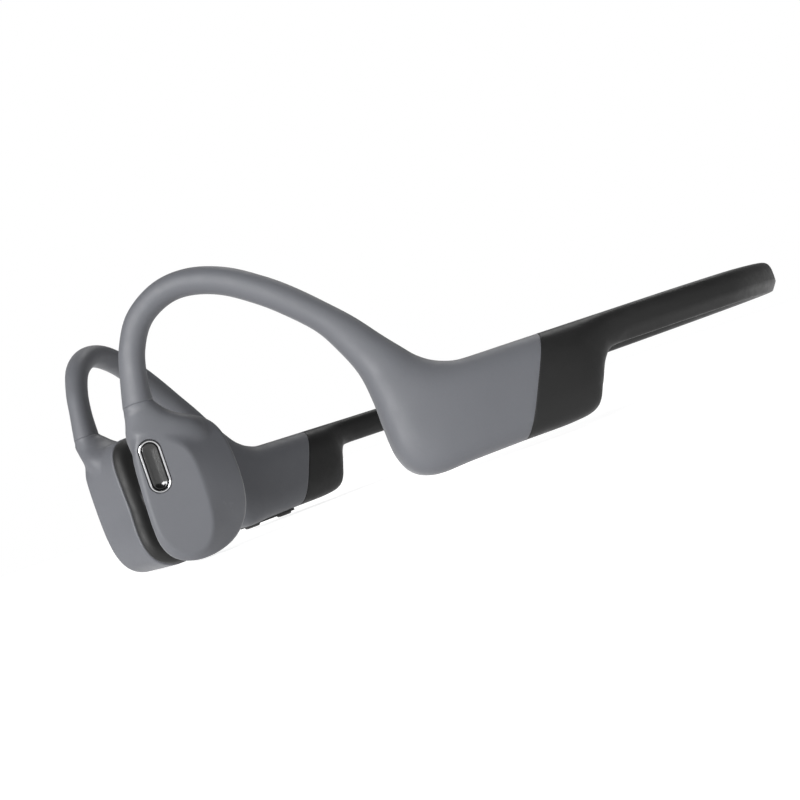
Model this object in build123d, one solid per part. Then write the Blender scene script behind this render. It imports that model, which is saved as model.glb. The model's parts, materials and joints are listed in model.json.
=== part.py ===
"""Bone conduction headphones: two ear-hook arms joined by a sprung neck band.

Frame: +X is the wearer's left, -Y is forwards, +Z is up, millimetres.
The origin is at the middle of the footprint, at the lowest point.
An arm is laid out in its own side view: s runs rearwards along the pod, n outwards, z up from
the pod's top edge. The right arm is the left one mirrored about the YZ plane.
"""
from build123d import *
from math import copysign, cos, hypot, pi, radians, sin
import os

# ---- Overall layout -------------------------------------------------------------------------
POD_TOP = 18.6                  # height of the pod's and the band's top edge
POD_X = 52.1                    # half the distance between the two pods' middle planes
POD_Y = -10.4                   # where the grey and black parts of a pod meet, at the top edge
POD_TOE = 15.7                  # degrees that a pod points outwards towards the rear
ARM_BEND_START = -16.0          # s where the arm starts to curve in towards the cheek
ARM_BEND = 0.0058               # inward curve of the arm, mm per mm squared

# ---- Transducer -----------------------------------------------------------------------------
DRIVER_X = 18.0                 # reference point of the transducer, in plan
DRIVER_Y = -71.4
DRIVER_TOE = 20.0               # degrees that the outer face turns forwards
DRIVER_LEAN = 6.0               # degrees that the lower end leans in towards the cheek
FACET_N = 1.3                   # outward position of the flat facet
SHELL_SPLIT_N = -9.2            # where the grey shell meets the contact pad
PAD_FACE_N = -11.4              # skin side of the contact pad
DRIVER_FRONT = -5.2             # front edge, along the local rearward axis
DRIVER_REAR = 12.4
DRIVER_LOW = -18.65
DRIVER_HIGH = 7.6
FRONT_CORNER = 5.2              # radius of the lower front corner
REAR_CORNER = 7.4               # radius of the two rear corners
SHOULDER_DEPTH = 3.6            # drop of the shoulder from the facet to the rear rim
SHELL_WALL = 1.3
EXCITER_T = 3.6                 # exciter axis
EXCITER_Z = -8.2
EXCITER_R = 6.0

# ---- Neck band ------------------------------------------------------------------------------
BAND_HEIGHT = 6.4
BAND_THICKNESS = 4.4
BAND_HALF_WIDTH = 61.2          # half the width of the band's middle line
BAND_WIDEST_Y = 22.0
BAND_REAR_Y = 75.0
BAND_ROUNDNESS = 2.15           # exponent of the rear arc
BAND_START_S = 17.0             # the pod ends and the band starts here
BAND_GAP = 0.8                  # gap between the two band halves at the flexing point
WIRE_R = 0.5
CABLE_R = 0.6
CHANNEL_PLAY = 0.08
CORE_OFFSET = 1.1               # wire and cable lie this far from the middle line

# ---- Pod ------------------------------------------------------------------------------------
POD_THICKNESS = 11.4
HOOK_SQUARENESS = 2.2           # exponent of the hook's superellipse section
POD_CAVITY_THICKNESS = 7.4
SEAM_TOP_S = 0.0                # grey to black seam, top and bottom
SEAM_BOTTOM_S = -8.8
SEAM_BOTTOM_Z = -17.5
HOOK_SEAM_Z = 11.4              # hook cover meets the transducer shell here

# ---- Controls -------------------------------------------------------------------------------
BUTTON_T = -1.8                 # multifunction button on the left facet
BUTTON_Z = 0.0
BUTTON_LENGTH = 10.0
BUTTON_WIDTH = 4.2
BUTTON_TRIM = 0.45
KEY_FRONT_S = -23.2             # volume keys under the right pod
KEY_REAR_S = -12.4
KEY_LENGTH = 4.2
KEY_WIDTH = 2.6
KEY_PLAY = 0.15
KEY_TOP_Z = -16.2               # inner end of a key; it travels 0.3 up to its switch
KEY_LOW_Z = -18.4
PORT_S = -25.6                  # charging port on the inner face of the left pod
PORT_Z = -9.2
BUTTON_GAP = 0.12               # clearance around the trim ring and around the cap
CAP_DISH_RADIUS = 4.4           # cylinder that hollows the cap
CAP_DISH_N = 3.9                # its axis above the facet
PORT_LENGTH = 8.4
PORT_WIDTH = 4.0
MIC_T = -1.6                    # call microphone in the right transducer
MIC_Z = -14.6
LIGHT_S = -5.0                  # status light under the right pod

# Pod sections: top edge (s, z), bottom edge (s, z), thickness, squareness of the section
POD_STATIONS = [
    ((17.0, 0.0), (17.0, -BAND_HEIGHT), BAND_THICKNESS, 3.0),
    ((13.5, 0.0), (13.4, -6.8), 5.2, 3.0),
    ((10.2, 0.0), (10.9, -9.0), 7.2, 3.1),
    ((7.4, 0.0), (8.6, -13.0), 9.4, 3.2),
    ((4.0, 0.0), (6.2, -16.4), 10.8, 3.3),
    ((0.0, 0.0), (1.0, -17.3), POD_THICKNESS, 3.4),
    ((-6.0, 0.0), (-9.0, -17.4), POD_THICKNESS, 3.4),
    ((-12.0, 0.0), (-19.0, -17.6), POD_THICKNESS, 3.4),
    ((-15.6, 0.1), (-25.5, -17.8), 11.2, 3.3),
    ((-18.0, 0.7), (-29.2, -16.2), 10.8, 3.1),
    ((-20.2, 1.7), (-31.1, -12.6), 10.2, 2.9),
    ((-22.3, 3.3), (-31.6, -7.4), 9.2, 2.7),
    ((-24.2, 5.5), (-31.8, -2.0), 8.2, 2.5),
    ((-26.6, 8.4), (-32.6, 3.4), 7.0, 2.4),
    ((-30.0, 12.8), (-34.9, 8.9), 6.0, 2.3),
    ((-33.3, 16.4), (-37.3, 13.0), 5.5, 2.2),
]
# Hook sections: middle (s, z), size across the arch, thickness
HOOK_STATIONS = [
    (-39.8, 19.4, 5.1, 5.3),
    (-43.8, 22.9, 5.0, 5.2),
    (-49.0, 26.5, 4.9, 5.2),
    (-54.5, 28.5, 4.8, 5.2),
    (-59.5, 28.3, 4.7, 5.2),
    (-64.2, 25.6, 4.6, 5.2),
    (-67.2, 21.0, 4.6, 5.2),
    (-68.7, 16.2, 4.9, 5.3),
    (-69.5, 11.4, 5.7, 5.6),
]


class SideView:
    """Places local (s, n, z) points of one arm, or of a transducer, in the shared frame."""

    def __init__(self, x, y, toe, lean=0.0, pivot_z=0.0):
        level = Vector(cos(radians(toe)), -sin(radians(toe)), 0)
        upright = Vector(0, 0, 1)
        self.rear = Vector(sin(radians(toe)), cos(radians(toe)), 0)
        self.out = level * cos(radians(lean)) - upright * sin(radians(lean))
        self.up = upright * cos(radians(lean)) + level * sin(radians(lean))
        self.origin = Vector(x, y, POD_TOP + pivot_z) - self.up * pivot_z

    def at(self, s, n, z):
        return self.origin + self.rear * s + self.out * n + self.up * z

    def plane(self, s, n, z):
        """Plane facing outwards, its x along s and its y up."""
        return Plane(origin=self.at(s, n, z), x_dir=self.rear, z_dir=self.out)


pod = SideView(POD_X, POD_Y, POD_TOE)
driver = SideView(DRIVER_X, DRIVER_Y, DRIVER_TOE, DRIVER_LEAN, HOOK_SEAM_Z)


# ---- Sections and spines --------------------------------------------------------------------
def bend(s):
    """How far the arm's middle surface has curved inwards at s, and its slope."""
    past = min(s - ARM_BEND_START, 0.0)
    return -ARM_BEND * past * past, -2 * ARM_BEND * past


def section(top, bottom, thickness, squareness):
    """Superellipse face between a top-edge point and a bottom-edge point of the side view."""
    upper = pod.at(top[0], bend(top[0])[0], top[1])
    lower = pod.at(bottom[0], bend(bottom[0])[0], bottom[1])
    slope = bend((top[0] + bottom[0]) / 2)[1]
    tall = (upper - lower).normalized()
    side = pod.out - pod.rear * slope
    side = (side - tall * side.dot(tall)).normalized()
    middle = (upper + lower) * 0.5
    half = (upper - lower).length / 2
    points = []
    for step in range(20):
        angle = 2 * pi * (step + 0.5) / 20
        along = copysign(abs(cos(angle)) ** (2 / squareness), cos(angle)) * half
        across = copysign(abs(sin(angle)) ** (2 / squareness), sin(angle)) * thickness / 2
        points.append(middle + tall * along + side * across)
    return Face(Wire([Spline(*points, periodic=True)]))


def hook_edges():
    """Top and bottom edge points of each hook section, square to the arch."""
    middles = [(s, z) for s, z, _, _ in HOOK_STATIONS]
    before = POD_STATIONS[-1]
    middles.insert(0, ((before[0][0] + before[1][0]) / 2, (before[0][1] + before[1][1]) / 2))
    edges = []
    for index, (s, z, width, thickness) in enumerate(HOOK_STATIONS):
        last = middles[index]
        following = middles[min(index + 2, len(middles) - 1)]
        ds, dz = following[0] - last[0], following[1] - last[1]
        if index == len(HOOK_STATIONS) - 1:
            ds, dz = 0.0, -1.0
        size = hypot(ds, dz)
        across = (dz / size * width / 2, -ds / size * width / 2)
        edges.append(((s + across[0], z + across[1]), (s - across[0], z - across[1]), thickness))
    return edges


def arm_form():
    """Pod and hook as one solid form."""
    faces = [section(*station) for station in POD_STATIONS]
    faces += [section(top, bottom, thickness, HOOK_SQUARENESS) for top, bottom, thickness in hook_edges()]
    return loft(faces)


def band_middle(angle):
    """Middle line of the left half of the band: 0 at its widest point, pi/2 at the rear."""
    power = 2 / BAND_ROUNDNESS
    x = BAND_HALF_WIDTH * cos(angle) ** power if angle < pi / 2 else 0.0
    return Vector(x, BAND_WIDEST_Y + (BAND_REAR_Y - BAND_WIDEST_Y) * sin(angle) ** power, 0)


def band_line(height, inset=0.0):
    """Spline along the left half of the band at a height, moved in or out from its middle."""
    points = [pod.at(BAND_START_S, inset, 0)]
    angles = [radians(a) for a in (8, 20, 32, 44, 56, 68, 80, 90)]
    for angle in angles:
        here = band_middle(angle)
        ahead = band_middle(min(angle + 0.01, pi / 2))
        run = (ahead - band_middle(angle - 0.01)).normalized()
        points.append(here + Vector(run.Y, -run.X, 0) * inset)
    flat = [Vector(p.X, p.Y, height) for p in points]
    return Spline(*flat, tangents=[pod.rear, Vector(-1, 0, 0)])


def band_form():
    """Left half of the band, with a lower outer bevel."""
    half_height = BAND_HEIGHT / 2
    half_thick = BAND_THICKNESS / 2
    path = band_line(POD_TOP - half_height)
    start = Plane(origin=path @ 0, x_dir=pod.out, z_dir=pod.rear)
    with_bevel = Polyline(
        (-half_thick, half_height - 0.4), (-half_thick + 0.9, half_height),
        (half_thick - 0.9, half_height), (half_thick, half_height - 0.8),
        (half_thick, -half_height + 1.7), (half_thick - 1.1, -half_height),
        (-half_thick + 0.9, -half_height), (-half_thick, -half_height + 0.9), close=True)
    profile = fillet(make_face(with_bevel).vertices(), 0.4)
    if start.y_dir.Z < 0:
        profile = mirror(profile, about=Plane.XZ)
    return sweep(start * profile, path=path)


def tube(path, radius):
    return sweep(Plane(origin=path @ 0, z_dir=path % 0) * Circle(radius), path=path)


def hook_line(offset):
    """Spline inside the hook from the pod to the transducer, offset across the arch."""
    points = [pod.at(-25.5, bend(-25.5)[0], -2.0 + offset)]
    stations = [(top, bottom) for top, bottom, _ in hook_edges()]
    stations.insert(0, (POD_STATIONS[-1][0], POD_STATIONS[-1][1]))
    stations.insert(0, (POD_STATIONS[-3][0], POD_STATIONS[-3][1]))
    for top, bottom in stations:
        size = hypot(top[0] - bottom[0], top[1] - bottom[1])
        s = (top[0] + bottom[0]) / 2 + offset * (top[0] - bottom[0]) / size
        z = (top[1] + bottom[1]) / 2 + offset * (top[1] - bottom[1]) / size
        points.append(pod.at(s, bend(s)[0], z))
    points.append(driver.at(-1.6 - offset, -1.6, 7.4))
    return Spline(*points)


# ---- Transducer -----------------------------------------------------------------------------
def driver_outline(inset=0.0):
    """Side outline of the transducer, a rounded box with a large rear top corner."""
    front, rear = DRIVER_FRONT + inset, DRIVER_REAR - inset
    low, high = DRIVER_LOW + inset, DRIVER_HIGH - inset
    small, big = FRONT_CORNER - inset, REAR_CORNER - inset
    lines = Curve() + [
        Line((front, low + small), (front, high - 2)),
        Line((front, high - 2), (front + 2, high)),
        Line((front + 2, high), (rear - big, high)),
        RadiusArc((rear - big, high), (rear, high - big), big),
        Line((rear, high - big), (rear, low + big)),
        RadiusArc((rear, low + big), (rear - big, low), big),
        Line((rear - big, low), (front + small, low)),
        RadiusArc((front + small, low), (front, low + small), small),
    ]
    return make_face(lines)


def shoulder_cut(inset):
    """Wedge that slopes the shell from the facet's rear edge down to its rear rim."""
    wedge = make_face(Polyline(
        (5.4 - inset, FACET_N - inset), (14.0, FACET_N - inset - SHOULDER_DEPTH * 8.6 / 7.0),
        (14.0, 6.0), (5.4 - inset, 6.0), close=True))
    low = Plane(origin=driver.at(0, 0, -24), x_dir=driver.rear, z_dir=-driver.up)
    return extrude(low * wedge, amount=-44)


def driver_body(inset=0.0):
    """Solid transducer form between the seam and the facet."""
    length = FACET_N - inset - SHELL_SPLIT_N
    base = driver.plane(0, SHELL_SPLIT_N, 0)
    body = extrude(base * driver_outline(inset), amount=length)
    return body - shoulder_cut(inset)


def neck_form():
    """Short neck that joins the hook to the transducer's top."""
    top, bottom, thickness = hook_edges()[-1]
    upper = section(top, bottom, thickness, HOOK_SQUARENESS)
    low = Plane(origin=driver.at(0.1, -2.6, 4.6), x_dir=driver.rear, z_dir=driver.up)
    return loft([upper, low * Ellipse(4.9, 3.6).face()])


def capsule(length, width):
    """Upright rounded slot."""
    return Rot(0, 0, 90) * SlotOverall(length, width)


def driver_shell(with_button):
    outer = driver_body()
    shell = outer + neck_form()
    shell -= driver_body(SHELL_WALL)
    for offset, radius in ((CORE_OFFSET, WIRE_R), (-CORE_OFFSET, CABLE_R)):
        shell -= tube(hook_line(offset), radius + CHANNEL_PLAY)
    if with_button:
        hole = driver.plane(BUTTON_T, FACET_N + 1, BUTTON_Z) * capsule(BUTTON_LENGTH, BUTTON_WIDTH)
        shell -= extrude(hole, amount=-4)
    return shell


def contact_pad():
    """Soft pad with a domed edge and a flat skin face, hollow behind."""
    base = driver.plane(0, SHELL_SPLIT_N, 0)
    depth = SHELL_SPLIT_N - PAD_FACE_N
    pad = extrude(base * driver_outline(0.7), amount=-depth)
    skin = pad.faces().sort_by(Axis(origin=(0, 0, 0), direction=tuple(driver.out)))[0]
    pad = fillet(skin.edges(), 1.7)
    inner = extrude(base * driver_outline(2.6), amount=-depth + 1.3)
    return pad - inner


def disc(radius, outer_n, inner_n, hole=0.0):
    """Round piece on the exciter's axis between two positions along the outward direction."""
    face = Circle(radius)
    if hole:
        face -= Circle(hole)
    return extrude(driver.plane(EXCITER_T, outer_n, EXCITER_Z) * face, amount=inner_n - outer_n)


def exciter():
    """The moving-coil exciter, from the yoke out to the drive plate behind the pad."""
    yoke = disc(EXCITER_R, -3.4, -4.0) + disc(EXCITER_R, -4.0, -6.4, EXCITER_R - 0.7)
    leaf = disc(EXCITER_R, -6.7, -6.9)
    for turn in range(3):
        slot = Rot(0, 0, 120 * turn) * (Pos(3.6, 0) * Rectangle(0.5, 5.4))
        leaf -= extrude(driver.plane(EXCITER_T, -6.6, EXCITER_Z) * slot, amount=-0.5)
    return {
        "exciter_yoke": yoke,
        "exciter_magnet": disc(4.0, -4.0, -5.5),
        "exciter_top_plate": disc(4.1, -5.5, -6.1),
        "voice_coil": disc(5.1, -4.7, -6.7, 4.4),
        "suspension_leaf": leaf,
        "drive_plate": disc(5.4, -7.1, -9.8) - disc(6.0, -7.0, -8.8, 3.2),
    }


def driver_frame():
    """Plastic ring that carries the exciter inside the shell."""
    base = driver.plane(0, SHELL_SPLIT_N, 0)
    ring = extrude(base * driver_outline(SHELL_WALL + 0.1), amount=1.0)
    ring -= disc(EXCITER_R + 0.1, -7.0, -9.6)
    ring += disc(EXCITER_R + 0.8, -4.8, -8.2, EXCITER_R + 0.1)
    return ring & driver_body(SHELL_WALL + 0.1)


# ---- Multifunction button (left) ------------------------------------------------------------
def multifunction_button():
    def slot(grow, top, depth):
        face = capsule(BUTTON_LENGTH + 2 * grow, BUTTON_WIDTH + 2 * grow)
        return extrude(driver.plane(BUTTON_T, top, BUTTON_Z) * face, amount=-depth)

    gap = BUTTON_GAP
    trim_out = slot(-gap, FACET_N + 0.15, 1.1)
    trim = trim_out - slot(-gap - BUTTON_TRIM, FACET_N + 1, 4)
    cap = slot(-2 * gap - BUTTON_TRIM, FACET_N - 0.05, 1.1)
    cap += slot(-1.6, FACET_N - 1.1, 0.75)
    dish = Rot(90, 0, 0) * Cylinder(CAP_DISH_RADIUS, 2 * BUTTON_LENGTH)
    cap -= Location(driver.plane(BUTTON_T, FACET_N + CAP_DISH_N, BUTTON_Z)) * dish
    web = slot(-0.3, FACET_N - 1.55, 0.35) - slot(-1.45, FACET_N, 3)
    board = extrude(driver.plane(BUTTON_T, -1.9, BUTTON_Z) * Rectangle(3.0, 9.0), amount=-0.4)
    dome = extrude(driver.plane(BUTTON_T, -1.0, BUTTON_Z) * Circle(1.2), amount=-0.9, taper=-12)
    return {
        "multifunction_button": cap,
        "button_trim_ring": trim,
        "button_web_seal": web,
        "button_switch_board": board,
        "button_dome_switch": dome,
    }


# ---- Pods -----------------------------------------------------------------------------------
def pod_cavity():
    """Hollow of a pod, open through the seam between the grey and black parts."""
    outline = Polyline((-26.6, -15.9), (-28.6, -13.6), (-28.4, -6.0), (-21.5, -1.6),
                       (3.0, -1.6), (3.6, -15.2), (1.8, -15.9), close=True)
    base = pod.plane(0, -POD_CAVITY_THICKNESS / 2 - 0.1, 0)
    return extrude(base * make_face(outline), amount=POD_CAVITY_THICKNESS)


def behind_seam():
    """Everything to the rear of the slanted grey to black seam."""
    rise = (SEAM_TOP_S - SEAM_BOTTOM_S) / -SEAM_BOTTOM_Z
    top_s = SEAM_TOP_S + 12 * rise
    low_s = SEAM_BOTTOM_S - 12 * rise
    face = make_face(Polyline((low_s, SEAM_BOTTOM_Z - 12), (40, SEAM_BOTTOM_Z - 12), (40, 12),
                              (top_s, 12), close=True))
    return extrude(pod.plane(0, -20, 0) * face, amount=40)


def biggest(shape):
    """The main solid of a shape, without the slivers that joining can leave."""
    return shape.solids().sort_by(SortBy.VOLUME)[-1]


def arm_cores(form):
    """Cut the wire and cable channels of the hook out of a form."""
    for offset, radius in ((CORE_OFFSET, WIRE_R), (-CORE_OFFSET, CABLE_R)):
        form -= tube(hook_line(offset), radius + CHANNEL_PLAY)
    return form


def rear_sleeve(arm):
    """Black pod end with half of the neck band."""
    sleeve = biggest((arm & behind_seam()) - pod_cavity() + band_form())
    for inset, radius in ((-CORE_OFFSET + 0.1, WIRE_R), (CORE_OFFSET - 0.1, CABLE_R)):
        sleeve -= tube(core_line(inset), radius + CHANNEL_PLAY)
    return biggest(sleeve - flex_gap())


def core_line(inset):
    """Route of the band's wire or cable from inside the pod to the rear."""
    height = POD_TOP - BAND_HEIGHT / 2
    points = [pod.at(1.5, inset, -BAND_HEIGHT / 2), pod.at(9.0, inset, -BAND_HEIGHT / 2)]
    band = band_line(height, inset)
    points += [band @ (step / 9) for step in range(10)]
    return Spline(*points)


def flex_gap():
    return Pos(0, BAND_REAR_Y, POD_TOP) * Box(BAND_GAP, 20, 40)


def tray():
    """Inner frame that fits the pod's cavity and is open to the outside face."""
    outline = Polyline((-26.2, -15.6), (-28.0, -13.4), (-27.9, -6.3), (-21.3, -1.9),
                       (0.6, -1.9), (0.6, -14.9), (-0.4, -15.6), close=True)
    n_low = -POD_CAVITY_THICKNESS / 2
    block = extrude(pod.plane(0, n_low, 0) * make_face(outline), amount=6.6)
    inner = offset(make_face(outline), amount=-0.8)
    return block - extrude(pod.plane(0, n_low + 0.8, 0) * inner, amount=8)


def pod_block(s, z, n, length, height, depth, radius=0.8):
    """Rounded block in a pod, given by its middle, its length along s, height and depth."""
    base = pod.plane(s, n - depth / 2, z)
    return extrude(base * RectangleRounded(length, height, radius), amount=depth)


def left_electronics():
    battery = pod_block(-12.5, -9.2, 0.3, 20.0, 10.6, 4.8, 1.4)
    board = pod_block(-1.6, -8.8, 0.3, 1.6, 10.6, 4.6, 0.4)
    return {"battery_cell": battery, "battery_protection_board": board}


def right_electronics():
    board = pod_block(-11.5, -9.0, 0.6, 20.0, 10.4, 0.8, 0.6)
    can = pod_block(-13.0, -7.6, 1.9, 10.0, 7.2, 1.5, 0.3)
    antenna = pod_block(-3.4, -7.8, 1.5, 2.6, 8.0, 0.7, 0.3)
    return {"main_circuit_board": board, "chip_shield_can": can, "bluetooth_antenna": antenna}


def call_microphone():
    """Microphone capsule behind a sound hole in the right facet."""
    base = driver.plane(MIC_T, FACET_N - SHELL_WALL - 0.1, MIC_Z)
    return extrude(base * RectangleRounded(3.0, 2.2, 0.3), amount=-1.0)


def sound_hole():
    return extrude(driver.plane(MIC_T, FACET_N + 1, MIC_Z) * Circle(0.45), amount=-4)


def light_pipe(radius=0.6):
    """Clear rod that carries the status light to the pod's underside."""
    return extrude(under_plane(LIGHT_S, -15.6) * Circle(radius), amount=1.75)


def under_plane(s, z):
    """Plane under the pod facing down, its x along s."""
    return Plane(origin=pod.at(s, bend(s)[0], z), x_dir=pod.rear, z_dir=(0, 0, -1))


def volume_keys():
    """Rocker strip with two raised keys and the switches above them."""
    pieces = {}
    middle = (KEY_FRONT_S + KEY_REAR_S) / 2
    length = KEY_REAR_S - KEY_FRONT_S + KEY_LENGTH + 1.8
    strip = extrude(under_plane(middle, -16.9) * SlotOverall(length, KEY_WIDTH + 1.6), amount=1.0)
    for well in key_wells():
        strip -= well
    for name, s in (("volume_up_key", KEY_FRONT_S), ("volume_down_key", KEY_REAR_S)):
        key = extrude(under_plane(s, KEY_TOP_Z) * SlotOverall(KEY_LENGTH, KEY_WIDTH),
                      amount=KEY_TOP_Z - KEY_LOW_Z)
        pieces[name] = fillet(key.edges().group_by(Axis.Z)[0], 0.5)
    pieces["volume_key_strip"] = strip
    return pieces


def key_wells():
    """Clearance around the two keys, from the pod's cavity to the outside."""
    wells = []
    for s in (KEY_FRONT_S, KEY_REAR_S):
        slot = SlotOverall(KEY_LENGTH + 2 * KEY_PLAY, KEY_WIDTH + 2 * KEY_PLAY)
        wells.append(extrude(under_plane(s, -14.0) * slot, amount=6))
    return wells


def volume_switches():
    switches = []
    for s in (KEY_FRONT_S, KEY_REAR_S):
        switches.append(extrude(under_plane(s, -15.1) * Rectangle(2.2, 2.0), amount=0.7))
    return Compound(children=switches)


def port_plane(n):
    return Plane(origin=pod.at(PORT_S, n, PORT_Z), x_dir=pod.rear, z_dir=-pod.out)


def charging_port():
    socket = extrude(port_plane(-4.0) * SlotOverall(PORT_LENGTH, PORT_WIDTH, rotation=90), amount=2.2)
    pins = []
    magnets = []
    for step in (-2.1, -0.7, 0.7, 2.1):
        spot = port_plane(-3.9) * (Pos(0, step) * Circle(0.45))
        pins.append(extrude(spot, amount=2.4))
    for pin in pins:
        socket -= pin
    for step in (-3.3, 3.3):
        spot = port_plane(-4.3) * (Pos(0, step) * Circle(0.55))
        magnets.append(extrude(spot, amount=1.5))
    for magnet in magnets:
        socket -= magnet
    return {
        "charging_port": socket,
        "charging_pins": Compound(children=pins),
        "charging_magnets": Compound(children=magnets),
    }


# ---- Assembly -------------------------------------------------------------------------------
def to_right(shape):
    return mirror(shape, about=Plane.YZ)


def build():
    nodes = {}
    form = arm_form()
    cover = arm_cores((form - behind_seam()) - pod_cavity())
    sleeve = rear_sleeve(form)
    wire = tube(hook_line(CORE_OFFSET), WIRE_R)
    cable = tube(hook_line(-CORE_OFFSET), CABLE_R)
    band_wire = tube(core_line(-CORE_OFFSET + 0.1), WIRE_R) - flex_gap()
    band_cable = tube(core_line(CORE_OFFSET - 0.1), CABLE_R) - flex_gap()
    shared = {
        "hook_wire": wire,
        "hook_cable": cable,
        "band_sleeve": sleeve,
        "band_wire": band_wire,
        "band_cable": band_cable,
        "contact_pad": contact_pad(),
        "driver_frame": driver_frame(),
        "pod_frame": tray(),
        **exciter(),
    }
    for name, shape in shared.items():
        nodes["left_" + name] = shape
        nodes["right_" + name] = to_right(shape)
    port_well = extrude(port_plane(-3.6) * SlotOverall(PORT_LENGTH, PORT_WIDTH, rotation=90), amount=4)
    nodes["left_arm_cover"] = biggest(cover - port_well)
    nodes.update(charging_port())
    nodes["left_driver_shell"] = driver_shell(True)
    nodes["right_driver_shell"] = to_right(driver_shell(False) - sound_hole())
    nodes["right_band_sleeve"] = to_right(biggest(sleeve - light_pipe(0.62)))
    nodes["right_pod_frame"] = to_right(tray() - volume_switches())
    nodes.update(multifunction_button())
    nodes.update(left_electronics())
    right_cover = cover
    keys = volume_keys()
    for shape in [keys["volume_key_strip"], *key_wells()]:
        right_cover -= shape
    nodes["right_arm_cover"] = to_right(biggest(right_cover))
    right_only = {
        **right_electronics(),
        **keys,
        "volume_switches": volume_switches(),
        "call_microphone": call_microphone(),
        "status_light_pipe": light_pipe(),
    }
    for name, shape in right_only.items():
        nodes[name] = to_right(shape)
    return nodes


def main():
    os.makedirs("parts", exist_ok=True)
    for name, shape in build().items():
        export_step(shape, f"parts/{name}.step")


main()
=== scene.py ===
"""Looks of the bone conduction headphones: silicone skins, transducers, controls and studio.

The CAD frame: +X the wearer's left, -Y forwards, +Z up. Sizes are in millimetres until MM turns
them into the scene's metres. An arm is laid out in its own side view: s runs rearwards along the
pod, n outwards, z up from the pod's top edge. A transducer has a side view too: t rearwards, n
outwards, z up, turned and leaned with its outer face.
"""
import bmesh
import bpy
import json
from math import atan2, copysign, cos, hypot, pi, radians, sin
from mathutils import Matrix, Vector


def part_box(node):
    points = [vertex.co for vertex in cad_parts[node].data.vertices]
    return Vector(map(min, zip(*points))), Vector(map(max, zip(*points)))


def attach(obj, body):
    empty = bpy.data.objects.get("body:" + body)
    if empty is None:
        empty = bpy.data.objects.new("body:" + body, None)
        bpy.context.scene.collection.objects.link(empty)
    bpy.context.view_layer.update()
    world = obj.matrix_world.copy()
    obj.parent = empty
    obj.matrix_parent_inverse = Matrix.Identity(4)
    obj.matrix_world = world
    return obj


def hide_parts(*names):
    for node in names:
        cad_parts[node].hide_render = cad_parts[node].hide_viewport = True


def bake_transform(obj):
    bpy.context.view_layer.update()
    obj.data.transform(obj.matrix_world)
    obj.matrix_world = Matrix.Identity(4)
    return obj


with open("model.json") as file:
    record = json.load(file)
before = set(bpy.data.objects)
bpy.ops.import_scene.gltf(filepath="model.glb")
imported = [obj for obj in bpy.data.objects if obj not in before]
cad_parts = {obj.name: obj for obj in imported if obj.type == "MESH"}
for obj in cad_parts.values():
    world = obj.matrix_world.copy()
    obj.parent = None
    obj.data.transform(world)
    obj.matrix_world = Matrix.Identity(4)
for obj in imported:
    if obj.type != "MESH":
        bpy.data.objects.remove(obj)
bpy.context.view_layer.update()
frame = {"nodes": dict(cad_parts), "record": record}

MM = 0.001                      # metres in a millimetre

# ---- Driving dimensions, in millimetres and degrees -----------------------------------------
POD_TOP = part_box("left_band_sleeve")[1][2] / MM
POD_X, POD_Y, POD_TOE = 52.1, -10.4, 15.7
ARM_BEND_START, ARM_BEND = -16.0, 0.0058
HOOK_SQUARENESS = 2.2           # exponent of the hook's superellipse section
HOOK_SEAM_Z = 11.4              # hook cover meets the transducer shell here
POD_THICKNESS = 11.4
RING_STEPS = 9                  # rings from one arm station to the next
RING_POINTS = 48

BAND_HEIGHT, BAND_THICKNESS = 6.4, 4.4
BAND_HALF_WIDTH, BAND_WIDEST_Y, BAND_REAR_Y = 61.2, 22.0, 75.0
BAND_ROUNDNESS = 2.15           # exponent of the rear arc
BAND_SQUARENESS = 3.0           # exponent of the band's section
BAND_START_S = 17.0
BAND_KNOT_ANGLES = (8, 20, 32, 44, 56, 68, 80, 90)
BAND_SMOOTHNESS = 24            # points from one knot to the next
BEVEL_RISE, BEVEL_RUN = 1.9, 1.3    # flat on the lower outer corner of the band
BEVEL_FADE = 2.5                # stations over which that flat dies out in the pod
BLACK_STATIONS = 9              # pod stations that the black skin covers before the seam cuts it
SEAM_TOP = (0.0, 0.0)
SEAM_BOTTOM = (-8.8, -17.5)
SEAM_GAP = 0.03
SEAM_ROUND = 0.08               # rounding of the skins' edges at the seam
WIRE_R, CABLE_R, CORE_OFFSET = 0.5, 0.6, 1.0
CORE_POD_RUN = (1.5, 5.0, 9.0, 13.0)    # s of the wire and the cable inside the pod
CORE_SIDES = 14

DRIVER_X, DRIVER_Y, DRIVER_TOE, DRIVER_LEAN = 18.0, -71.4, 20.0, 6.0
FACET_N, SHELL_SPLIT_N, PAD_FACE_N = 1.3, -9.2, -11.4
SHELL_POINTS, PAD_POINTS = 160, 96
SHELL_VOXEL, QUICK_VOXEL = 0.24, 0.5    # grid that joins shell and neck
EDGE_VOXEL = 0.9                # second grid against the first; it rounds the cut edges
RELAX_ROUNDS = 3
SHOULDER_SLOPE, SHOULDER_DROP = 0.62, 0.35      # fall of the shoulder for its width, and at least
SHOULDER_LEAST = 0.4            # narrowest shoulder
SHOULDER_EASE = 1.15            # above 1, the shoulder leaves the facet gently
WALL_DROP = 1.12                # the wall starts this share of the drop below the facet
BOTTOM_FLARE, FLARE_BASE = 1.5, 0.25    # spread of the wall at the bottom, less this all round
SPLIT_TRIM = 0.05               # how far short of the pad the shell ends
CAVITY_CENTRE, CAVITY_SCALE = (3.6, -6.0, SHELL_SPLIT_N - 1.0), (0.84, 0.80, 0.82)
PAD_INSET, PAD_ROUND, PAD_GAP = 0.3, 2.4, 0.02
PAD_LIP, PAD_EDGE_START, PAD_EDGE_RISE = 0.04, 0.06, 0.80   # shares of the pad's depth
PAD_EDGE_ANGLES = (0, 12, 25, 38, 50, 62, 74, 86)
PAD_CROWN = ((0.62, 0.93), (0.45, 0.965), (0.28, 0.985), (0.1, 0.99))   # scale, share of depth

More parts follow.
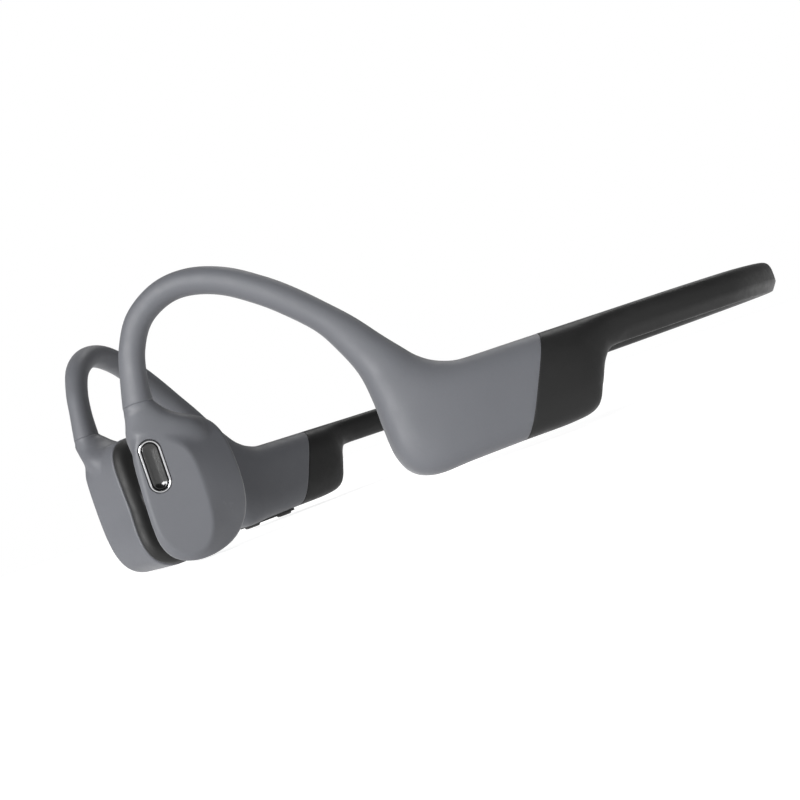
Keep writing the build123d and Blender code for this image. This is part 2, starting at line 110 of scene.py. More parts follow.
BUTTON_T, BUTTON_Z = -1.8, 0.0
BUTTON_LENGTH, BUTTON_WIDTH = 10.0, 4.2
BUTTON_POINTS, SLOT_POINTS = 96, 64
SLOT_FLOOR, SLOT_CEILING = -2.0, 3.0    # n of the cutter's two ends
CAP_DISH, CAP_STEPS, CAP_MIDDLE = 0.5, 12, 0.02     # depth, rings, half width of the last ring
# Sections of the cap's edge and of the trim ring: outline against the slot's, height against
# the facet
CAP_EDGE = [(-0.69, -1.15), (-0.69, -0.22), (-0.74, -0.13), (-0.83, -0.08)]
TRIM_PROFILE = [(-0.12, -0.95), (-0.12, 0.02), (-0.2, 0.14), (-0.34, 0.18), (-0.48, 0.12),
                (-0.56, 0.0), (-0.57, -0.95)]

WALL_LIGHT = 0.06               # light from the room, where the camera sees plain white
FLOOR_GLOW = 0.82               # light table under the headphones
FLOOR_HALF, FLOOR_Z = 6.0, -0.0002      # metres
CAMERA_PLACE = (220.7, -144.8, 9.15)
CAMERA_AZIMUTH, CAMERA_ELEVATION, CAMERA_ROLL = -31.504, -1.678, -19.228
CAMERA_LENS, CAMERA_SENSOR = 53.3, 36.0

# Pod sections: top edge (s, z), bottom edge (s, z), thickness, squareness
POD_STATIONS = [
    ((BAND_START_S, 0.0), (BAND_START_S, -BAND_HEIGHT), BAND_THICKNESS, BAND_SQUARENESS),
    ((13.5, 0.0), (13.4, -6.8), 5.2, 3.0),
    ((10.2, 0.0), (10.9, -9.0), 7.2, 3.1),
    ((7.4, 0.0), (8.6, -13.0), 9.4, 3.2),
    ((4.0, 0.0), (6.2, -16.4), 10.8, 3.3),
    ((0.0, 0.0), (1.0, -17.3), POD_THICKNESS, 3.4),
    ((-6.0, 0.0), (-9.0, -17.4), POD_THICKNESS, 3.4),
    ((-12.0, 0.0), (-19.0, -17.6), POD_THICKNESS, 3.4),
    ((-15.6, 0.1), (-25.5, -17.8), 11.2, 3.3),
    ((-18.0, 0.7), (-29.2, -16.2), 10.8, 3.1),
    ((-20.2, 1.7), (-31.1, -12.6), 10.2, 2.9),
    ((-22.3, 3.3), (-31.6, -7.4), 9.2, 2.7),
    ((-24.2, 5.5), (-31.8, -2.0), 8.2, 2.5),
    ((-26.6, 8.4), (-32.6, 3.4), 7.0, 2.4),
    ((-30.0, 12.8), (-34.9, 8.9), 6.0, 2.3),
    ((-33.3, 16.4), (-37.3, 13.0), 5.5, 2.2),
]
# Hook sections: middle (s, z), size across the arch, thickness; its front is up to 1.1 mm slimmer
# than the CAD's, as in the photograph
HOOK_STATIONS = [
    (-39.8, 19.4, 5.1, 5.3),
    (-43.8, 22.9, 5.0, 5.2),
    (-49.0, 26.5, 4.9, 5.2),
    (-54.5, 28.5, 4.8, 5.2),
    (-59.5, 28.3, 4.6, 5.0),
    (-64.2, 25.6, 4.3, 4.5),
    (-67.0, 21.0, 4.1, 4.2),
    (-68.3, 16.2, 4.2, 4.2),
    (-69.1, 11.4, 4.8, 4.8),
]
# Transducer outlines as (t, z) control points of a closed curve, which runs a little inside them:
# the whole side outline, and the flat facet
BODY_OUTLINE = [
    (12.1, -4.5), (11.8, 0.6), (10.2, 4.4), (6.6, 6.9), (1.6, 7.4), (-2.8, 7.0), (-4.9, 3.6),
    (-5.2, -1.5), (-5.4, -6.5), (-5.5, -11.4), (-4.9, -15.6), (-1.9, -18.1), (3.0, -18.6),
    (7.9, -17.3), (11.0, -13.8), (12.1, -9.2),
]
FACET_OUTLINE = [
    (5.2, -4.0), (5.0, -0.6), (3.9, 2.2), (1.2, 4.6), (-1.8, 5.9), (-3.8, 5.2),
    (-4.3, 1.0), (-4.6, -4.5), (-4.9, -10.0), (-4.2, -14.0), (-1.9, -16.6), (0.9, -17.1),
    (3.4, -15.7), (4.9, -12.6), (5.2, -8.5),
]
OUTLINE_CENTRE = (1.2, -6.0)
OUTLINE_GROW = 1.035            # makes up for the curve's running inside its points
OUTLINE_STEPS = 24              # points on the curve for each control point
# Neck sections down into the transducer: z, t and n of the middle, half sizes along t and n
NECK_SECTIONS = [
    (10.2, -0.85, -0.2, 3.3, 2.75), (9.0, -0.45, -0.6, 3.9, 2.95), (7.9, 0.1, -1.2, 4.9, 3.3),
    (6.8, 0.9, -2.0, 6.1, 3.7), (5.6, 1.6, -2.8, 7.0, 4.0), (3.2, 2.2, -3.6, 7.3, 4.1),
    (0.0, 2.5, -4.0, 6.6, 3.6),
]
NECK_SQUARENESS, NECK_LIFT = 2.3, 1.8
# Where the neck blends into the shell: centre (t, z, n), reach, rounds of smoothing
NECK_JUNCTIONS = [((5.6, 6.8, -2.5), 6.5, 130), ((-4.4, 6.6, -2.5), 5.0, 120),
                  ((0.5, 7.2, 1.2), 3.6, 60)]


class SideView:
    """Places (s, n, z) points of an arm or a transducer in the shared frame, in metres."""

    def __init__(self, x, y, toe, lean=0.0, pivot_z=0.0):
        level = Vector((cos(radians(toe)), -sin(radians(toe)), 0))
        upright = Vector((0, 0, 1))
        self.rear = Vector((sin(radians(toe)), cos(radians(toe)), 0))
        self.out = level * cos(radians(lean)) - upright * sin(radians(lean))
        self.up = upright * cos(radians(lean)) + level * sin(radians(lean))
        self.origin = Vector((x, y, POD_TOP + pivot_z)) - self.up * pivot_z

    def at(self, s, n, z):
        return (self.origin + self.rear * s + self.out * n + self.up * z) * MM


pod = SideView(POD_X, POD_Y, POD_TOE)
driver = SideView(DRIVER_X, DRIVER_Y, DRIVER_TOE, DRIVER_LEAN, HOOK_SEAM_Z)


# ---- Small mesh helpers ---------------------------------------------------------------------
def smooth_value(values, where):
    """Catmull-Rom value at a fractional index of a list of numbers."""
    last = len(values) - 1
    i = min(int(where), last - 1)
    t = where - i
    a, b = values[max(i - 1, 0)], values[i]
    c, d = values[i + 1], values[min(i + 2, last)]
    return 0.5 * (2 * b + (c - a) * t + (2 * a - 5 * b + 4 * c - d) * t * t
                  + (3 * b - a - 3 * c + d) * t ** 3)


def new_object(name, mesh):
    obj = bpy.data.objects.new(name, mesh)
    bpy.context.scene.collection.objects.link(obj)
    return obj


def mesh_from_rings(name, rings, wrap=False):
    """Skin a list of equal closed rings with quads, and close its ends or wrap it round."""
    mesh = bpy.data.meshes.new(name)
    count = len(rings[0])
    points = [p for ring in rings for p in ring]
    faces = []
    for r in range(len(rings) if wrap else len(rings) - 1):
        after = (r + 1) % len(rings)
        for k in range(count):
            nxt = (k + 1) % count
            faces.append((r * count + k, r * count + nxt, after * count + nxt, after * count + k))
    if not wrap:
        faces.append(tuple(reversed(range(count))))
        faces.append(tuple(range(len(points) - count, len(points))))
    mesh.from_pydata([tuple(p) for p in points], [], faces)
    mesh.validate()
    obj = new_object(name, mesh)
    tidy_normals(obj)
    return obj


def shade_smooth(obj):
    for face in obj.data.polygons:
        face.use_smooth = True


def tidy_normals(obj):
    bm = bmesh.new()
    bm.from_mesh(obj.data)
    bmesh.ops.recalc_face_normals(bm, faces=bm.faces)
    bm.to_mesh(obj.data)
    bm.free()
    shade_smooth(obj)


def apply_modifiers(obj):
    bpy.context.view_layer.update()
    shown = obj.evaluated_get(bpy.context.evaluated_depsgraph_get())
    mesh = bpy.data.meshes.new_from_object(shown)
    obj.modifiers.clear()
    old = obj.data
    obj.data = mesh
    bpy.data.meshes.remove(old)
    shade_smooth(obj)


def voxel_skin(obj, size):
    """Rebuild a closed mesh on a fine grid and relax it a little."""
    remesh = obj.modifiers.new("grid", "REMESH")
    remesh.mode = "VOXEL"
    remesh.voxel_size = size
    relax = obj.modifiers.new("relax", "SMOOTH")
    relax.factor = 0.5
    relax.iterations = RELAX_ROUNDS
    apply_modifiers(obj)


def trim(obj, point, normal):
    """Cut away what lies on the normal's side of a plane, and close the cut."""
    bm = bmesh.new()
    bm.from_mesh(obj.data)
    bmesh.ops.bisect_plane(bm, geom=bm.verts[:] + bm.edges[:] + bm.faces[:], plane_co=point,
                           plane_no=normal, clear_outer=True)
    bmesh.ops.holes_fill(bm, edges=[e for e in bm.edges if e.is_boundary], sides=0)
    bmesh.ops.triangulate(bm, faces=[f for f in bm.faces if len(f.verts) > 4])
    bmesh.ops.recalc_face_normals(bm, faces=bm.faces)
    bm.to_mesh(obj.data)
    bm.free()


def subtract(obj, cutter):
    cut = obj.modifiers.new("cut", "BOOLEAN")
    cut.operation = "DIFFERENCE"
    cut.solver = "EXACT"
    cut.object = cutter
    apply_modifiers(obj)
    bpy.data.objects.remove(cutter)


def mirrored(obj, name):
    """A copy on the wearer's right."""
    mesh = obj.data.copy()
    mesh.transform(Matrix.Scale(-1, 4, (1, 0, 0)))
    mesh.flip_normals()
    return new_object(name, mesh)


# ---- Arm and band form ----------------------------------------------------------------------
def bend(s):
    """Inward curve of the arm at s, and its slope."""
    past = min(s - ARM_BEND_START, 0.0)
    return -ARM_BEND * past * past, -2 * ARM_BEND * past


def hook_edges():
    """Top and bottom edge of each hook section, square to the arch."""
    middles = [(s, z) for s, z, _, _ in HOOK_STATIONS]
    top, bottom, _, _ = POD_STATIONS[-1]
    middles.insert(0, ((top[0] + bottom[0]) / 2, (top[1] + bottom[1]) / 2))
    edges = []
    for index, (s, z, width, thickness) in enumerate(HOOK_STATIONS):
        last = middles[index]
        following = middles[min(index + 2, len(middles) - 1)]
        ds, dz = following[0] - last[0], following[1] - last[1]
        if index == len(HOOK_STATIONS) - 1:
            ds, dz = 0.0, -1.0
        size = hypot(ds, dz)
        across = (dz / size * width / 2, -ds / size * width / 2)
        edges.append(((s + across[0], z + across[1]), (s - across[0], z - across[1]),
                      thickness, HOOK_SQUARENESS))
    return edges


def superellipse(angle, half_tall, half_wide, squareness):
    tall = copysign(abs(cos(angle)) ** (2 / squareness), cos(angle)) * half_tall
    wide = copysign(abs(sin(angle)) ** (2 / squareness), sin(angle)) * half_wide
    return tall, wide


def bevelled(tall, wide, half_tall, half_wide, amount):
    """Flatten the lower outer corner of a band section."""
    if amount <= 0:
        return tall, wide
    rise, run = BEVEL_RISE * amount, BEVEL_RUN * amount
    low = -tall
    reach = low / rise + wide / run
    limit = half_tall / rise + half_wide / run - 1
    scale = limit / reach if reach > limit else 1.0
    return tall * scale, wide * scale


def section_ring(middle, tall, side, half_tall, half_wide, squareness, bevel):
    """Ring of an arm or band section around its middle, which is in metres."""
    ring = []
    for k in range(RING_POINTS):
        along, across = superellipse(2 * pi * k / RING_POINTS, half_tall, half_wide, squareness)
        along, across = bevelled(along, across, half_tall, half_wide, bevel)
        ring.append(middle + (tall * along + side * across) * MM)
    return ring


def arm_rings():
    """Rings from the band end of the pod to the hook's seam."""
    stations = [(*top, *low, thick, square)
                for top, low, thick, square in POD_STATIONS + hook_edges()]
    columns = list(zip(*stations))
    rings = []
    for step in range((len(stations) - 1) * RING_STEPS + 1):
        where = step / RING_STEPS
        top_s, top_z, low_s, low_z, thick, square = [smooth_value(c, where) for c in columns]
        upper = pod.at(top_s, bend(top_s)[0], top_z)
        lower = pod.at(low_s, bend(low_s)[0], low_z)
        slope = bend((top_s + low_s) / 2)[1]
        tall = (upper - lower).normalized()
        side = pod.out - pod.rear * slope
        side = (side - tall * side.dot(tall)).normalized()
        half = (upper - lower).length / 2 / MM
        rings.append(section_ring((upper + lower) / 2, tall, side, half, thick / 2, square,
                                  max(0.0, 1 - where / BEVEL_FADE)))
    return rings


def band_middle(angle):
    """Point of the band's rear arc, which is a superellipse seen from above."""
    power = 2 / BAND_ROUNDNESS
    x = BAND_HALF_WIDTH * max(cos(angle), 0.0) ** power
    y = BAND_WIDEST_Y + (BAND_REAR_Y - BAND_WIDEST_Y) * sin(angle) ** power
    return Vector((x, y, 0))


def heading(points, index):
    """Direction of a line of points at one of them."""
    after = points[min(index + 1, len(points) - 1)]
    return (after - points[max(index - 1, 0)]).normalized()


def band_path():
    """Points along the left half of the band's middle line, from the pod to the rear."""
    start = pod.at(BAND_START_S, 0, 0) / MM
    knots = [start] + [band_middle(radians(a)) for a in BAND_KNOT_ANGLES]
    last = len(knots) - 1
    curve = bpy.data.curves.new("band_guide", "CURVE")
    curve.dimensions = "3D"
    curve.resolution_u = BAND_SMOOTHNESS
    spline = curve.splines.new("BEZIER")
    spline.bezier_points.add(last)
    for index, (point, knot) in enumerate(zip(spline.bezier_points, knots)):
        before, after = knots[max(index - 1, 0)], knots[min(index + 1, last)]
        unit = heading(knots, index)
        if index == 0:
            unit = pod.rear
        if index == last:
            unit = Vector((-1, 0, 0))
        back = (knot - before).length if index else (after - knot).length
        ahead = (after - knot).length if index < last else back
        point.co = (knot.x, knot.y, 0)
        point.handle_left = (knot.x - unit.x * back / 3, knot.y - unit.y * back / 3, 0)
        point.handle_right = (knot.x + unit.x * ahead / 3, knot.y + unit.y * ahead / 3, 0)
    guide = new_object("band_guide", curve)
    bpy.context.view_layer.update()
    mesh = bpy.data.meshes.new_from_object(guide)
    points = [Vector((v.co.x, v.co.y, 0)) for v in mesh.vertices]
    bpy.data.objects.remove(guide)
    bpy.data.meshes.remove(mesh)
    if points[0].x < points[-1].x:
        points.reverse()
    return points


def band_rings():
    """Rings from the pod round to the middle of the rear."""
    points = band_path()
    rings = []
    for index, point in enumerate(points):
        run = heading(points, index)
        if index == len(points) - 1:
            run = Vector((-1, 0, 0))
        middle = Vector((point.x, point.y, POD_TOP - BAND_HEIGHT / 2)) * MM
        rings.append(section_ring(middle, Vector((0, 0, 1)), Vector((run.y, -run.x, 0)),
                                  BAND_HEIGHT / 2, BAND_THICKNESS / 2, BAND_SQUARENESS, 1.0))
    return rings


def seam_plane(shift):
    """A point on the slanted seam between grey and black, and its rearward normal."""
    lean = Vector((SEAM_TOP[0] - SEAM_BOTTOM[0], SEAM_TOP[1] - SEAM_BOTTOM[1]))
    normal = (pod.rear * lean.y - Vector((0, 0, 1)) * lean.x).normalized()
    if normal.dot(pod.rear) < 0:
        normal.negate()
    return pod.at(0, 0, 0) + normal * shift * MM, normal


def cut_at_seam(bm, geom, point, normal, keep_rear):
    """Cut at the seam's plane, close the cut and round its rim."""
    bmesh.ops.bisect_plane(bm, geom=geom, plane_co=point, plane_no=normal,
                           clear_outer=not keep_rear, clear_inner=keep_rear)
    edges = [e for e in bm.edges if e.is_boundary]
    caps = bmesh.ops.holes_fill(bm, edges=edges, sides=0)["faces"]
    bmesh.ops.recalc_face_normals(bm, faces=bm.faces)
    rim = [e for f in caps for e in f.edges]
    bmesh.ops.bevel(bm, geom=rim, offset=SEAM_ROUND * MM, segments=2, profile=0.5,
                    affect="EDGES")


def cut_arm(arm):
    """Trim the arm skin at its seam with the black skin."""
    bm = bmesh.new()
    bm.from_mesh(arm.data)
    cut_at_seam(bm, bm.verts[:] + bm.edges[:] + bm.faces[:], *seam_plane(-SEAM_GAP / 2), False)
    bm.to_mesh(arm.data)
    bm.free()
    shade_smooth(arm)


def cut_band(band):
    """Trim the band skin at both seams."""
    bm = bmesh.new()
    bm.from_mesh(band.data)
    for sign in (1, -1):
        point, normal = seam_plane(SEAM_GAP / 2)
        point = Vector((point.x * sign, point.y, point.z))
        normal = Vector((normal.x * sign, normal.y, normal.z))
        half = [v for v in bm.verts if v.co.x * sign > 0]
        chosen = set(half)
        geom = half + [e for e in bm.edges if all(v in chosen for v in e.verts)]
        geom += [f for f in bm.faces if all(v in chosen for v in f.verts)]
        cut_at_seam(bm, geom, point, normal, True)
    bm.to_mesh(band.data)
    bm.free()
    shade_smooth(band)


def make_arms_and_band():
    """The two arm skins, the band skin and the ring where the hook ends."""
    rings = arm_rings()
    arm = mesh_from_rings("left_arm_skin", rings)
    cut_arm(arm)
    right = mirrored(arm, "right_arm_skin")
    pod_end = rings[:BLACK_STATIONS * RING_STEPS]
    half = pod_end[::-1] + band_rings()[1:]
    other = [[Vector((-p.x, p.y, p.z)) for p in ring] for ring in reversed(half[:-1])]
    band = mesh_from_rings("band_skin", half + other)
    cut_band(band)
    return arm, right, band, rings[-1]


def tube_mesh(name, points, radius):
    """Round tube along points that stays level."""
    rings = []
    for index, point in enumerate(points):
        run = heading(points, index)
        side = run.cross(Vector((0, 0, 1))).normalized()
        up = side.cross(run)
        ring = []
        for k in range(CORE_SIDES):
            angle = 2 * pi * k / CORE_SIDES
            ring.append(point + (side * cos(angle) + up * sin(angle)) * radius * MM)
        rings.append(ring)
    return mesh_from_rings(name, rings)


def band_core(name, inset, radius):
    """Wire or cable through the whole band, pod to pod."""
    height = POD_TOP - BAND_HEIGHT / 2
    left = [pod.at(s, inset, -BAND_HEIGHT / 2) for s in CORE_POD_RUN]
    path = band_path()
    for index, point in enumerate(path):
        run = heading(path, index)
        side = Vector((run.y, -run.x, 0))
        left.append((point + side * inset + Vector((0, 0, height))) * MM)
    right = [Vector((-p.x, p.y, p.z)) for p in reversed(left[:-1])]
    return tube_mesh(name, left + right, radius)


# ---- Transducers ----------------------------------------------------------------------------
def reaches(outline, count):
    """Distances from the outline's centre to a smooth closed curve, at even angles."""
    dense = []
    last = len(outline)
    for step in range(last * OUTLINE_STEPS):
        i, f = divmod(step, OUTLINE_STEPS)
        f /= OUTLINE_STEPS
        near = [outline[(i + k) % last] for k in (-1, 0, 1, 2)]
        weight = ((1 - f) ** 3 / 6, (3 * f ** 3 - 6 * f * f + 4) / 6,
                  (-3 * f ** 3 + 3 * f * f + 3 * f + 1) / 6, f ** 3 / 6)
        t = sum(w * p[0] for w, p in zip(weight, near)) - OUTLINE_CENTRE[0]
        z = sum(w * p[1] for w, p in zip(weight, near)) - OUTLINE_CENTRE[1]
        dense.append((atan2(z, t) % (2 * pi), hypot(t, z) * OUTLINE_GROW))
    dense.sort()
    first, final = dense[0], dense[-1]
    dense = [(final[0] - 2 * pi, final[1])] + dense + [(first[0] + 2 * pi, first[1])]
    found = []
    place = 0
    for k in range(count):
        angle = 2 * pi * k / count
        while dense[place + 1][0] < angle:
            place += 1
        (a, low), (b, high) = dense[place], dense[place + 1]
        found.append(low + (high - low) * (angle - a) / max(b - a, 1e-9))
    return found


def polar_ring(distances, depths):
    """Local (t, z, n) ring from a distance and a depth at each of its even angles."""
    ring = []
    for k, (reach, depth) in enumerate(zip(distances, depths)):
        angle = 2 * pi * k / len(distances)
        ring.append(Vector((OUTLINE_CENTRE[0] + cos(angle) * reach,
                            OUTLINE_CENTRE[1] + sin(angle) * reach, depth)))
    return ring


def flares(count):
    """How far the wall has spread at the parting line, most at the bottom."""
    return [BOTTOM_FLARE * max(0.0, -sin(2 * pi * k / count)) ** 2 - FLARE_BASE
            for k in range(count)]


def driver_local():
    """Closed body of the transducer in local millimetres, facet facing +z."""
    facet = reaches(FACET_OUTLINE, SHELL_POINTS)
    outer = reaches(BODY_OUTLINE, SHELL_POINTS)
    drops = [SHOULDER_SLOPE * max(o - f, SHOULDER_LEAST) + SHOULDER_DROP
             for f, o in zip(facet, outer)]
    tops = [FACET_N - drop * WALL_DROP for drop in drops]
    rings = []
    for share in (0.04, 0.35, 0.65, 0.85, 0.95, 1.0):
        rings.append(polar_ring([f * share for f in facet], [FACET_N] * SHELL_POINTS))
    for share in (0.1, 0.25, 0.4, 0.55, 0.7, 0.82, 0.91, 0.97):
        sink = share ** SHOULDER_EASE
        rings.append(polar_ring([f + (o - f) * share for f, o in zip(facet, outer)],
                                [FACET_N - drop * sink for drop in drops]))
    flare = flares(SHELL_POINTS)
    for share in (0.0, 0.2, 0.4, 0.6, 0.8, 1.0):
        rings.append(polar_ring([o + more * share for o, more in zip(outer, flare)],
                                [top + (SHELL_SPLIT_N - top) * share for top in tops]))
    return rings


def local(point):
    """A point of the shared frame in the left transducer's (t, z, n) millimetres."""
    away = point / MM - driver.origin
    return Vector((away.dot(driver.rear), away.dot(driver.up), away.dot(driver.out)))


def neck_local(hook_end):
    """Neck from the hook's end ring down into the transducer, in the transducer's frame."""
    seam = [local(p) for p in hook_end]
    rise = Vector((0, cos(radians(DRIVER_LEAN)), -sin(radians(DRIVER_LEAN))))
    rings = [[p + rise * lift for p in seam] for lift in (NECK_LIFT, 0.0)]
    for z, t, n, half_t, half_n in NECK_SECTIONS:
        ring = []
        for k in range(RING_POINTS):
            a, b = superellipse(2 * pi * k / RING_POINTS, half_t, half_n, NECK_SQUARENESS)
            ring.append(Vector((t - a, z, n + b)))
        rings.append(ring)
    return rings


def voxel_union(name, parts, size):
    """Join closed meshes into one skin on a fine grid and relax it."""
    bm = bmesh.new()
    for part in parts:
        bm.from_mesh(part.data)
        bpy.data.objects.remove(part)
    mesh = bpy.data.meshes.new(name)
    bm.to_mesh(mesh)
    bm.free()
    obj = new_object(name, mesh)
    voxel_skin(obj, size)
    return obj


def relax_near(obj, centre, reach, rounds):
    """Blend a junction by smoothing only the vertices near it."""
    group = obj.vertex_groups.new(name="junction")
    for v in obj.data.vertices:
        away = (v.co - centre).length
        if away < reach:
            group.add([v.index], min(1.0, 2 * (1 - away / reach)), "REPLACE")
    relax = obj.modifiers.new("blend", "SMOOTH")
    relax.factor = 0.6
    relax.iterations = rounds
    relax.vertex_group = "junction"
    apply_modifiers(obj)
    obj.vertex_groups.clear()


def capsule_loop(length, width, count):
    """Upright capsule outline in local (t, z)."""
    radius = width / 2
    straight = length / 2 - radius
    loop = []
    for k in range(count):
        angle = 2 * pi * (k + 0.5) / count
        z = copysign(straight, sin(angle)) + radius * sin(angle)
        loop.append((radius * cos(angle), z))
    return loop


def to_frame(obj):
    """Local (t, z, n) millimetres of the left transducer to the shared frame."""
    matrix = Matrix.Identity(4)
    for row in range(3):
        matrix[row][0] = driver.rear[row] * MM
        matrix[row][1] = driver.up[row] * MM
        matrix[row][2] = driver.out[row] * MM
        matrix[row][3] = driver.origin[row] * MM
    obj.data.transform(matrix)
    tidy_normals(obj)
    return obj


def driver_shell(name, hook_end, with_button):
    """Grey shell of the left transducer with its neck, hollow and open to the pad."""
    body = mesh_from_rings("body", driver_local())
    neck = mesh_from_rings("neck", neck_local(hook_end))
    voxel = SHELL_VOXEL
    shell = voxel_union(name, [body, neck], voxel)
    for centre, reach, rounds in NECK_JUNCTIONS:
        relax_near(shell, Vector(centre), reach, rounds)
    trim(shell, (0, 0, SHELL_SPLIT_N + SPLIT_TRIM), (0, 0, -1))
    voxel_skin(shell, voxel * EDGE_VOXEL)
    upright = Vector((0, driver.up.z, driver.out.z))
    trim(shell, local(pod.at(0, 0, HOOK_SEAM_Z - SEAM_GAP)), upright)
    hollow(shell)
    if with_button:
        cut_slot(shell)
    return to_frame(shell)


def hollow(shell):
    """Take the inside out so that the shell has a real wall."""
    cavity = shell.copy()
    cavity.data = shell.data.copy()
    bpy.context.scene.collection.objects.link(cavity)
    for v in cavity.data.vertices:
        for axis, (centre, scale) in enumerate(zip(CAVITY_CENTRE, CAVITY_SCALE)):
            v.co[axis] = centre + (v.co[axis] - centre) * scale
    subtract(shell, cavity)


def cut_slot(shell):
    loop = capsule_loop(BUTTON_LENGTH, BUTTON_WIDTH, SLOT_POINTS)
    rings = [[Vector((BUTTON_T + t, BUTTON_Z + z, n)) for t, z in loop]
             for n in (SLOT_FLOOR, SLOT_CEILING)]
    subtract(shell, mesh_from_rings("slot_cutter", rings))


def contact_pad():
    """Dark soft pad: domed edge, slightly crowned skin face."""
    outer = [o + more for o, more in zip(reaches(BODY_OUTLINE, PAD_POINTS), flares(PAD_POINTS))]
    depth = SHELL_SPLIT_N - PAD_FACE_N
    steps = [(PAD_INSET, 0.0), (PAD_INSET, PAD_LIP)]
    for turn in [radians(a) for a in PAD_EDGE_ANGLES]:
        steps.append((PAD_INSET + PAD_ROUND * (1 - cos(turn)),
                      PAD_EDGE_START + PAD_EDGE_RISE * sin(turn)))
    rings = []
    for inset, share in steps:
        low = SHELL_SPLIT_N - PAD_GAP - depth * share
        rings.append(polar_ring([o - inset for o in outer], [low] * PAD_POINTS))
    for scale, share in PAD_CROWN:
        low = SHELL_SPLIT_N - depth * share
        rings.append(polar_ring([o * scale for o in outer], [low] * PAD_POINTS))
    return to_frame(mesh_from_rings("left_contact_pad_skin", rings))


# ---- Multifunction button -------------------------------------------------------------------
def button_loop(grow):
    """The slot's outline grown or shrunk, in local (t, z)."""
    return capsule_loop(BUTTON_LENGTH + 2 * grow, BUTTON_WIDTH + 2 * grow, BUTTON_POINTS)


def trim_ring():
    """Polished ring with a rounded edge."""
    rings = [[Vector((BUTTON_T + t, BUTTON_Z + z, FACET_N + rise)) for t, z in button_loop(grow)]
             for grow, rise in TRIM_PROFILE]
    return to_frame(mesh_from_rings("button_trim", rings, wrap=True))


def button_cap():
    """Cap dished across its width, with a soft rounded edge."""
    corner, top = CAP_EDGE[-1]
    half = BUTTON_WIDTH / 2 + corner
    steps = [(grow, rise, 0) for grow, rise in CAP_EDGE]
    for k in range(1, CAP_STEPS + 1):
        share = k / CAP_STEPS
        steps.append((corner - (half - CAP_MIDDLE) * share, top, 1 - (1 - share) ** 3))
    rings = []
    for grow, rise, dish in steps:
        ring = []
        for t, z in button_loop(grow):
            height = FACET_N + rise - CAP_DISH * dish * (1 - (t / half) ** 2)
            ring.append(Vector((BUTTON_T + t, BUTTON_Z + z, height)))
        rings.append(ring)
    return to_frame(mesh_from_rings("button_cap", rings))


# ---- Materials ------------------------------------------------------------------------------
SLOW_NOISE, MIDDLE_NOISE = 55.0, 420.0      # waves in a metre
BRUSH_STRETCH = 0.06            # noise scale along the brushing
SPECK_SHARE = 0.8               # speckles against the slow drift
BUMP_SHARE = 0.35               # bump height against the grain


def node(tree, kind, **inputs):
    made = tree.nodes.new(kind)
    for key, value in inputs.items():
        made.inputs[key.replace("_", " ")].default_value = value
    return made


def spread(tree, source, low, high, source_range=(0.3, 0.7)):
    """Stretch a value that stays within a narrow range over a given one."""
    mapped = node(tree, "ShaderNodeMapRange", From_Min=source_range[0],
                  From_Max=source_range[1], To_Min=low, To_Max=high)
    tree.links.new(source, mapped.inputs["Value"])
    return mapped.outputs["Result"]


def worn_edges(tree, colour, colour_out, wear):
    """Mix a lighter colour in along convex edges."""
    factor, first, second, mixed = 0, 6, 7, 2       # sockets of a Mix node set to colour
    geometry = tree.nodes.new("ShaderNodeNewGeometry")
    edge = spread(tree, geometry.outputs["Pointiness"], 0.0, wear, (0.52, 0.64))
    mix = tree.nodes.new("ShaderNodeMix")
    mix.data_type = "RGBA"
    lighter = [min(1.0, c * 1.9 + 0.03) for c in colour]
    mix.inputs[second].default_value = (*lighter, 1)
    tree.links.new(edge, mix.inputs[factor])
    tree.links.new(colour_out, mix.inputs[first])
    return mix.outputs[mixed]


